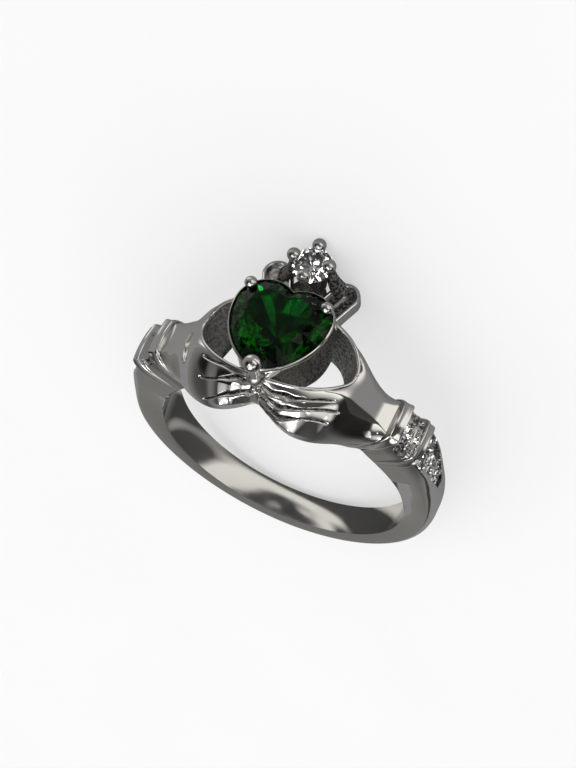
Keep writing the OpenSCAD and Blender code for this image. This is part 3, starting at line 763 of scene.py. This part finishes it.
def lobe_claw(side):
    """A flat, flared arm up the outside of a lobe that bends in over the stone, and its ball."""
    turn = np.radians(36)
    out, up = np.array([np.cos(turn) * side, np.sin(turn), 0]), np.array([0, 0, 1])
    root = np.array([lobe_x * side, lobe_y + heart_y, 0]) + lobe_r * out
    path = curve([root + away * out + (girdle_z + z) * up for away, z in (
        (0, -2.3), (0.02, -1.2), (0.08, -0.1), (0.06, 0.45), (-0.24, 0.72))], 22)
    t = np.linspace(0, 1, 22)
    width = 0.86 - 0.42 * ease(t * 1.2)
    return [wire(path, width, 0.44 - 0.06 * t, out), ball(path[-1] - 0.01 * up, 0.4, up, 0.94, 20, 28)]


def tip_claw():
    """A round post behind the fingertips with a large ball, and the bead of solder."""
    tip = heart_y + tip_y
    path = np.linspace([0, tip + 0.05, hole_r + hand_t + 0.1], [0, tip - 0.15, girdle_z + 0.75], 12)
    size = np.full(12, 0.81)
    return [wire(path, size, size, [0, 1, 0]),
            ball(path[-1] + [0, 0, 0.05], 0.58, [0, 0, 1], 0.97, 24, 32),
            ball([0, tip + 0.02, hole_r + hand_t + 0.5], 0.6, [0, 0, 1], 1.1, 18, 24)]


# Only the solder keeps a little skin
claws = cast_piece("heart_claws", lobe_claw(-1) + lobe_claw(1) + tip_claw(), marks=[0] * 6 + [0.3],
                   crease=60)
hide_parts("band_and_setting")
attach(claws, "root")


# The crown's setting
# A small turned cup with four wire claws, each ending in a ball, holds the round stone behind the
# heart.
crown_at = np.array([0, 5.7, hole_r + 4.9])  # the middle of the round stone


def turned(middle, profile, columns=40):
    """A shape turned about the upright line through middle: profile gives radius and height."""
    turn = full_turn(columns)
    profile = np.asarray(profile, float)
    radius, height = profile[:, :1], profile[:, 1:]
    x, y, z = np.broadcast_arrays(radius * np.cos(turn), radius * np.sin(turn), height)
    return middle + np.stack([x, y, z], -1)


def crown_claw(turn):
    """A tapering wire from the cup's foot up to the stone's edge, bent in a little, and its ball. The
    wires at the sides start further out and thicker, on the leaves."""
    out, up = np.array([np.cos(turn), np.sin(turn), 0]), np.array([0, 0, 1])
    broad = abs(np.cos(turn))
    path = curve([crown_at + away * out + z * up for away, z in (
        (0.6 + 1.3 * broad, -2.0), (0.94 + 0.35 * broad, -1.2), (1.27, -0.2), (1.18, 0.6))], 18)
    size = 0.62 + (0.14 + 0.55 * broad) * np.linspace(1, 0, 18) ** 1.5
    return [wire(path, size, size * 0.78, out, 16), ball(path[-1], 0.44, out * 0.2 + up, 0.94, 18, 24)]


cup = turned(crown_at, [(0, -2.1), (0.3, -2.1), (0.7, -2.1), (0.79, -2.06), (0.8, -1.9), (0.95, -1.2),
                        (1.12, -0.6), (1.2, -0.3), (1.24, -0.16), (1.22, -0.1), (1.1, -0.16),
                        (0.5, -0.72), (0, -1.05)])
# Cup and wires are painted nearly black between the bright balls: painted shade
crown_setting = cast_piece(
    "crown_setting", [cup] + sum((crown_claw(np.radians(t)) for t in (0, 90, 180, 270)), []),
    marks=[1.6] + [1.2, 0.1] * 4, crease=50)
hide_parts("band_and_setting")
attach(crown_setting, "root")


# The crown's leaves and foot
# Two round-ended leaves spread to the sides of the crown. Their upper faces are hollowed on both
# sides of a rib and polished, and a plate joins them to the wall and the thumbs.
leaf_root, leaf_top = (1.6965, 3.852), hole_r + 3.42  # where a leaf starts, and its upper face
leaf_l, leaf_w, leaf_in, leaf_lean = 2.5, 1.95, 0.9, -22  # leaf_in is its length inside the foot


def leaf(side):
    """A tab with a round end, drawn from its middle line outwards: a sharp rib, a hollow on each side
    of it, the rim, the rounded edge, the side and the underside."""
    r, end = leaf_w / 2, leaf_l - leaf_w / 2
    turn = np.linspace(0, np.pi, 33)
    rim_line = np.concatenate([
        np.stack([np.full(14, r), np.linspace(-leaf_in, end, 14)], 1)[:-1],
        np.stack([r * np.cos(turn), end + r * np.sin(turn)], 1),
        np.stack([np.full(14, -r), np.linspace(end, -leaf_in, 14)], 1)[1:],
        np.stack([np.linspace(-r, r, 9), np.full(9, -leaf_in)], 1)[1:],
    ])
    core = np.stack([np.zeros(len(rim_line)), np.clip(rim_line[:, 1], -0.3, end)], 1)
    # Each row from the rib outwards and round to below: share of the way to the rim, and height
    rows = [(0, 0.0), (0.1, -0.12), (0.22, -0.24), (0.36, -0.32), (0.5, -0.33), (0.62, -0.26),
            (0.71, -0.13), (0.76, -0.03), (0.79, 0), (0.86, 0.01), (0.92, 0), (0.97, -0.03), (1, -0.09),
            (1.01, -0.25), (1, -0.6), (1, -0.83), (0.97, -0.88), (0.92, -0.9), (0.5, -0.9), (0, -0.9)]
    flat = np.stack([core + (rim_line - core) * s for s, _ in rows])
    lean = np.radians(leaf_lean)
    x = flat[..., 0] * np.cos(lean) - flat[..., 1] * np.sin(lean) + leaf_root[0]
    y = flat[..., 0] * np.sin(lean) + flat[..., 1] * np.cos(lean) + leaf_root[1]
    z = leaf_top + np.array([h for _, h in rows])[:, None]
    return np.stack(np.broadcast_arrays(side * x, y, z), -1)


def foot_plate():
    """A plate of six corners with rounded edges, drawn from its middle outwards."""
    corners = np.array([
        (-2.3, 2.7), (2.3, 2.7), (2.2, 3.6), (0.9, 5.5), (-0.9, 5.5), (-2.2, 3.6), (-2.3, 2.7)])
    t = np.linspace(0, 6, 61)
    i = np.minimum(t.astype(int), 5)
    line = corners[i] + (corners[i + 1] - corners[i]) * (t - i)[:, None]
    middle = np.array([0, 3.8])
    rows = [(0, 3.15), (0.9, 3.15), (0.97, 3.12), (1, 3.05),
            (1, 2.05), (0.97, 1.97), (0.9, 1.95), (0, 1.95)]
    flat = np.stack([middle + (line - middle) * s for s, _ in rows])
    z = hole_r + np.array([h for _, h in rows])[:, None]
    return np.stack(np.broadcast_arrays(flat[..., 0], flat[..., 1], z), -1)


# The hollow of the left leaf is marked lightly with grain; that of the right one is painted nearly
# black, painted shade in the hollow
hollow = np.array([0, 0.4, 0.9, 0.95, 0.9, 0.7, 0.4, 0.1] + [0] * 12)[:, None]
leaves = cast_piece("crown_leaves", [leaf(-1), leaf(1), foot_plate()],
                    marks=[hollow * 0.35, hollow * 1.5, 0.5], crease=50)
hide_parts("band_and_setting")
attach(leaves, "root")


# The heart stone
# A faceted heart in deep emerald green: a large flat table, small facets around it, and long facets
# below that run together under the middle.
def facets(name, points, faces):
    """A stone with flat faces from its corner points in mm and lists of corners."""
    mesh = bpy.data.meshes.new(name)
    mesh.from_pydata(lay_down(points).tolist(), [], faces)
    faces_outwards(mesh)
    return add(name, mesh)


def heart_brilliant():
    """Rings of corners, which are the heart's outline drawn in by a share at a height, joined by flat
    facets: the table, star and upper facets, a thin girdle, and lower facets and mains to the keel."""
    line = heart_outline(8, 8)[:-1]
    n = len(line)
    even, odd = line[0::2], line[1::2]
    table = heart_ring(even, 0.66, girdle_z + 0.95)
    shoulder = heart_ring(odd, 0.86, girdle_z + 0.55)
    above = heart_ring(line, 1, girdle_z + 0.06)
    below = heart_ring(line, 1, girdle_z - 0.06)
    hip = heart_ring(odd, 0.52, girdle_z - 1.62)
    keel = heart_ring(even, 0.05, girdle_z - 2.9)
    m = n // 2
    # Where each ring starts: table, shoulder, girdle above and below, hip and keel
    t, s, a, b, h, c = np.cumsum([0, m, m, n, n, m]).tolist()
    faces = [list(range(m)), list(range(c, c + m))]
    for k in range(m):
        nxt = (k + 1) % m
        faces += [
            [t + k, s + k, t + nxt], [t + k, a + 2 * k, s + k], [s + k, a + (2 * k + 2) % n, t + nxt],
            [s + k, a + 2 * k, a + 2 * k + 1], [s + k, a + 2 * k + 1, a + (2 * k + 2) % n],
            [b + 2 * k, b + 2 * k + 1, h + k], [b + 2 * k + 1, b + (2 * k + 2) % n, h + k],
            [b + (2 * k + 2) % n, h + nxt, h + k],
            [h + k, h + nxt, c + nxt], [h + k, c + nxt, c + k],
        ]
    for k in range(n):
        faces.append([a + k, a + (k + 1) % n, b + (k + 1) % n, b + k])
    return np.concatenate([table, shoulder, above, below, hip, keel]), faces


heart_stone = facets("emerald_heart", *heart_brilliant())
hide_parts("heart_stone")
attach(heart_stone, "root")


def ramp(tree, along, *stops):
    """A run of colours along a value: each stop gives a place and its colour."""
    made = node(tree, "ShaderNodeValToRGB", {"Fac": along})
    spots = made.color_ramp.elements
    for place, _ in stops[1:-1]:
        spots.new(place)
    for spot, (place, colour) in zip(spots, stops):
        spot.position, spot.color = place, colour
    return made


def cut_stone(name, colour, deep, bend, gloss=1.0, haze=0.0):
    """A clear, polished stone: light passes through it and turns on its facets. Faint veils in the
    stone change its colour a little from place to place. gloss is how strongly its faces mirror, and
    haze how much they blur what is seen through them."""
    material = bpy.data.materials.new(name)
    material.use_nodes = True
    tree = material.node_tree
    place = node(tree, "ShaderNodeTexCoord").outputs["Object"]
    veil = node(tree, "ShaderNodeTexNoise", {"Vector": place, "Scale": 700, "Detail": 3})
    feed(tree.nodes["Principled BSDF"], {
        "Base Color": ramp(tree, veil, (0.35, deep), (0.65, colour)),
        "Transmission Weight": 1, "IOR": bend, "Roughness": haze,
        "Specular Tint": (gloss, gloss, gloss, 1)})
    return material


emerald = cut_stone("emerald_green", (0.016, 0.45, 0.13, 1), (0.004, 0.18, 0.045, 1), 1.58, 0.3, 0.09)
depth = node(emerald.node_tree, "ShaderNodeVolumeAbsorption",
             {"Density": 1350, "Color": (0.02, 0.66, 0.27, 1)})
feed(emerald.node_tree.nodes["Material Output"], {"Volume": depth})
heart_stone.data.materials.append(emerald)


# The round stones
# A brilliant-cut colourless stone sits in the crown, and fourteen small ones in the cuffs and
# shoulders.
clear = cut_stone("clear_stone", (0.97, 0.975, 0.98, 1), (0.93, 0.935, 0.95, 1), 2.3)
for name, stone in frame["nodes"].items():
    if "stone" in name and name != "heart_stone":
        stone.data.materials.clear()
        stone.data.materials.append(clear)


# The table
# A sheet of pale paper lies under the ring. What the polished metal mirrors of it is laid with bright
# and dark cards, as a photographer does, and with light and dark strips inside the ring.
table = bpy.data.meshes.new("table")
low = cad_box[0][2]
table.from_pydata([(-3, -3, low), (3, -3, low), (3, 3, low), (-3, 3, low)], [], [(0, 1, 2, 3)])
floor = add("table", table)
paper = bpy.data.materials.new("pale_table")
paper.use_nodes = True
sheet = paper.node_tree
spot = node(sheet, "ShaderNodeTexCoord").outputs["Object"]
speck = node(sheet, "ShaderNodeTexNoise", {"Vector": spot, "Scale": 60, "Detail": 2})
plain = ramp(sheet, speck, (0, (0.46, 0.46, 0.46, 1)), (1, (0.49, 0.49, 0.49, 1)))


def outside_cards(*cards):
    """How far a spot is outside the nearest of some round cards, each given by x, y and radius."""
    nearest = None
    for x, y, radius in cards:
        away = node(sheet, "ShaderNodeVectorMath", {0: spot, 1: (x, y, low)}, operation="DISTANCE")
        off = node(sheet, "ShaderNodeMath", {0: away.outputs["Value"], 1: radius}, operation="SUBTRACT")
        nearest = off if nearest is None else node(
            sheet, "ShaderNodeMath", {0: nearest, 1: off}, operation="MINIMUM")
    return nearest


def laid_over(under, colour, share):
    """One colour laid over another by a share from 0 to 1."""
    return node(sheet, "ShaderNodeMix", {"Factor": share, 6: under, 7: colour},
                data_type="RGBA").outputs[2]


mirrored = (0.25, 0.25, 0.255, 1)
card_edge = 0.0035  # a card's edge fades over this length to each side, in metres
dark_cards = outside_cards((-3.0, 0.3, 2.990))
bright_cards = outside_cards((-0.021, -0.026, 0.011), (0.014, -0.0245, 0.008), (-0.017, -0.040, 0.014))
for cards, colour in ((dark_cards, (0.03, 0.03, 0.03, 1)), (bright_cards, (0.95, 0.93, 0.88, 1))):
    within = node(sheet, "ShaderNodeMapRange", {
        "Value": cards, "From Min": card_edge, "From Max": -card_edge}, interpolation_type="SMOOTHSTEP")
    mirrored = laid_over(mirrored, colour, within)
from_middle = node(sheet, "ShaderNodeVectorMath", {0: spot}, operation="LENGTH")
in_ring = node(sheet, "ShaderNodeMapRange", {
    "Value": from_middle.outputs["Value"], "From Min": 0.0095, "From Max": 0.0085})
strips = node(sheet, "ShaderNodeTexNoise", {"Vector": spot, "Scale": 190, "Detail": 1})
strip_tone = ramp(sheet, strips, (0.44, (0.06, 0.06, 0.06, 1)), (0.56, (0.95, 0.93, 0.89, 1)))
mirrored = laid_over(mirrored, strip_tone, in_ring)
path = node(sheet, "ShaderNodeLightPath")
glow = node(sheet, "ShaderNodeMath", {0: path.outputs["Is Camera Ray"], 1: 0.46}, operation="MULTIPLY")
feed(sheet.nodes["Principled BSDF"], {
    "Base Color": laid_over(plain, mirrored, path.outputs["Is Glossy Ray"]),
    "Roughness": 0.7, "Specular IOR Level": 0.2,
    "Emission Color": (1, 1, 1, 1), "Emission Strength": glow})
table.materials.append(paper)


# The light
# Two small lamps give the sparks, and the rest comes from a pale room. Polished metal mirrors a room
# that is pale at the horizon and dark higher up, with a bright ceiling, dark screens and soft panels.
aim = Vector((0, -0.006, 0.002))
for name, stand, power in (("spark_right", (-0.10, -0.24, 0.20), 0.006),
                           ("spark_left", (0.05, 0.16, 0.26), 0.012)):
    lamp = bpy.data.lights.new(name, "AREA")
    lamp.size = 0.02
    lamp.energy = power
    holder = add(name, lamp)
    holder.location = stand
    holder.rotation_euler = (aim - Vector(stand)).to_track_quat("-Z", "Y").to_euler()

world = bpy.data.worlds.new("studio")
bpy.context.scene.world = world
world.use_nodes = True
air = world.node_tree
air.nodes.clear()
way = node(air, "ShaderNodeTexCoord").outputs["Generated"]
height = node(air, "ShaderNodeSeparateXYZ", {"Vector": way}).outputs["Z"]
light = ramp(air, height, *((place, (grey, grey, grey * 0.96, 1)) for place, grey in (
    (0, 0.22), (0.25, 0.17), (0.5, 0.08), (0.75, 0.05))), (1, (1, 1, 1, 1)))
# Screens and panels: direction and rise in degrees, reach around it, half the width of the soft edge,
# and how many times as bright the room is there
for towards, rise, reach, soft, level in (
        (166, 4, 32, 10, 0.08), (332, 42, 20, 6, 0.1), (184, 38, 15, 4, 15), (95, 62, 12, 6, 2.5),
        (300, 62, 6, 4, 5), (232, 0, 30, 8, 5.5), (150, 80, 7, 3, 14)):
    a, e = np.radians([towards, rise])
    off = node(air, "ShaderNodeVectorMath", {
        0: way, 1: (np.cos(a) * np.cos(e), np.sin(a) * np.cos(e), np.sin(e))}, operation="DOT_PRODUCT")
    panel = node(air, "ShaderNodeMapRange", {
        "Value": off.outputs["Value"], "From Min": np.cos(np.radians(reach + soft)),
        "From Max": np.cos(np.radians(reach - soft)), "To Min": 1, "To Max": level},
        interpolation_type="SMOOTHSTEP")
    light = node(air, "ShaderNodeVectorMath", {0: light, "Scale": panel}, operation="SCALE")
room = node(air, "ShaderNodeBackground", {"Color": light})
pale = node(air, "ShaderNodeBackground", {"Color": (1.05, 1.05, 1.05, 1)})
# Inside the stones the room is seen as small lights and darks, which makes the facets sparkle
scatter = node(air, "ShaderNodeTexNoise", {"Vector": way, "Scale": 2.3, "Detail": 1})
glints = ramp(air, scatter, (0.56, (0.005, 0.005, 0.005, 1)), (0.62, (1, 1, 1, 1)))
sparkle = node(air, "ShaderNodeBackground", {"Color": glints, "Strength": 14})
seen = node(air, "ShaderNodeLightPath")
either = node(air, "ShaderNodeMixShader", {0: seen.outputs["Is Glossy Ray"], 1: pale, 2: room})
through = node(air, "ShaderNodeMixShader", {
    0: seen.outputs["Is Transmission Ray"], 1: either, 2: sparkle})
node(air, "ShaderNodeOutputWorld", {"Surface": through})


# The camera
# It stands 134 mm from the middle of the finger hole and is turned with the picture.
camera_away = 0.13387
turn, rise, roll = np.radians([32.16, 61.17, -8.79])
back = np.array([np.sin(turn) * np.cos(rise), -np.cos(turn) * np.cos(rise), np.sin(rise)])
right = np.array([np.cos(turn), np.sin(turn), 0])
up = np.cross(back, right)
axes = lay_down(np.stack([
    np.cos(roll) * right + np.sin(roll) * up, -np.sin(roll) * right + np.cos(roll) * up, back])) * 1000
lens = bpy.data.cameras.new("camera")
lens.sensor_width = 36
lens.lens = 95.29
lens.shift_x, lens.shift_y = -0.0027, 0.0823
lens.clip_start, lens.clip_end = 0.005, 20
camera = add("camera", lens)
place = np.eye(4)
place[:3, :3] = axes.T
place[:3, 3] = axes[2] * camera_away
camera.matrix_world = Matrix(place.tolist())
bpy.context.scene.camera = camera
bpy.context.scene.view_settings.view_transform = "Standard"
